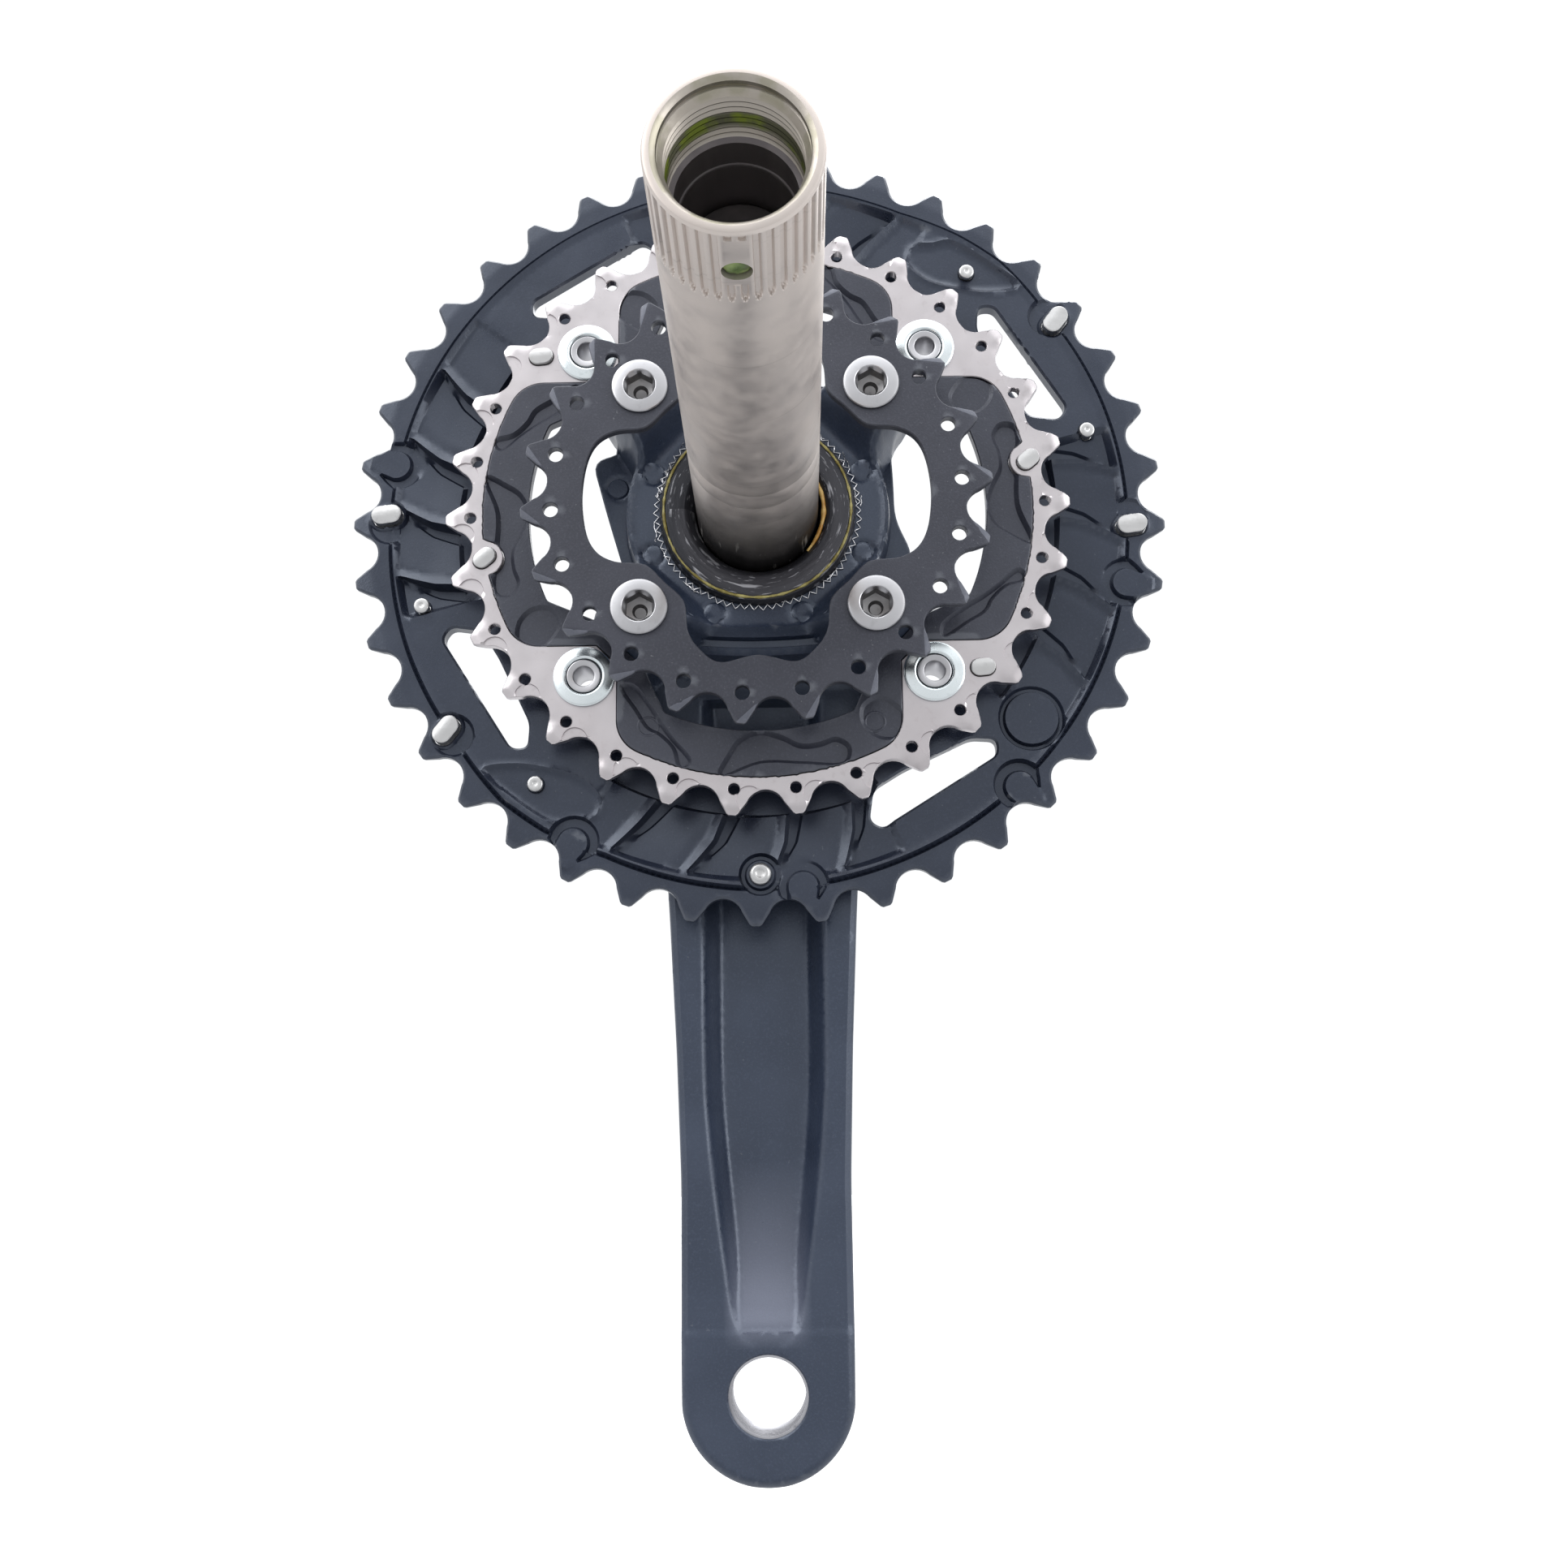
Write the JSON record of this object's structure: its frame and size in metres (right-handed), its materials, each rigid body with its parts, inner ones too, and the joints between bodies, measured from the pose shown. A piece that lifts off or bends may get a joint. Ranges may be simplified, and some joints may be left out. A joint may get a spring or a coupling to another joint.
{
  "type": "bicycle crankset",
  "caption": "Drive-side bicycle crank arm with a hollow splined spindle, a spider and stacked chainrings that carry the chain and take the rider's pedal.",
  "frame": {"origin": "on the spindle axis, at the centre plane of the bicycle frame, where the bottom bracket holds the spindle", "axes": "+Y along the spindle towards the arm (outboard), -Z from the spindle along the arm to the pedal, +X completes the right-handed set"},
  "size_m": [0.164, 0.1516, 0.2685],
  "materials": {
    "arm_paint": "satin dark blue-grey anodised and painted forging",
    "ring_paint": "satin dark blue-grey",
    "black_steel": "matt black plated steel",
    "nickel": "satin nickel plate",
    "composite": "matt fibre-filled composite",
    "spindle_steel": "worn plated steel",
    "collar_steel": "dark greasy steel",
    "zinc": "bright zinc plate",
    "satin_aluminium": "satin",
    "pin_steel": "bright steel",
    "dark_plastic": "matt"
  },
  "bodies": {
    "root": {"crank_arm": "arm_paint", "hub_cap": "dark_plastic", "spindle": "spindle_steel", "spindle_plug": "dark_plastic", "press_collar": "collar_steel", "outer_chainring": "ring_paint", "middle_chainring": "nickel", "ring_carrier": "composite", "inner_chainring": "black_steel", "chain_catch_pin": "pin_steel", "ring_nut_1": "zinc", "ring_nut_2": "zinc", "ring_nut_3": "zinc", "ring_nut_4": "zinc", "ring_bolt_1": "satin_aluminium", "ring_bolt_2": "satin_aluminium", "ring_bolt_3": "satin_aluminium", "ring_bolt_4": "satin_aluminium", "inner_bolt_1": "satin_aluminium", "inner_bolt_2": "satin_aluminium", "inner_bolt_3": "satin_aluminium", "inner_bolt_4": "satin_aluminium", "outer_lift_pin_1": "pin_steel", "outer_lift_pin_2": "pin_steel", "outer_lift_pin_3": "pin_steel", "outer_lift_pin_4": "pin_steel", "middle_lift_pin_1": "pin_steel", "middle_lift_pin_2": "pin_steel", "middle_lift_pin_3": "pin_steel", "middle_lift_pin_4": "pin_steel", "outer_rivet_1": "pin_steel", "outer_rivet_2": "pin_steel", "outer_rivet_3": "pin_steel", "outer_rivet_4": "pin_steel"}
  },
  "joints": []
}
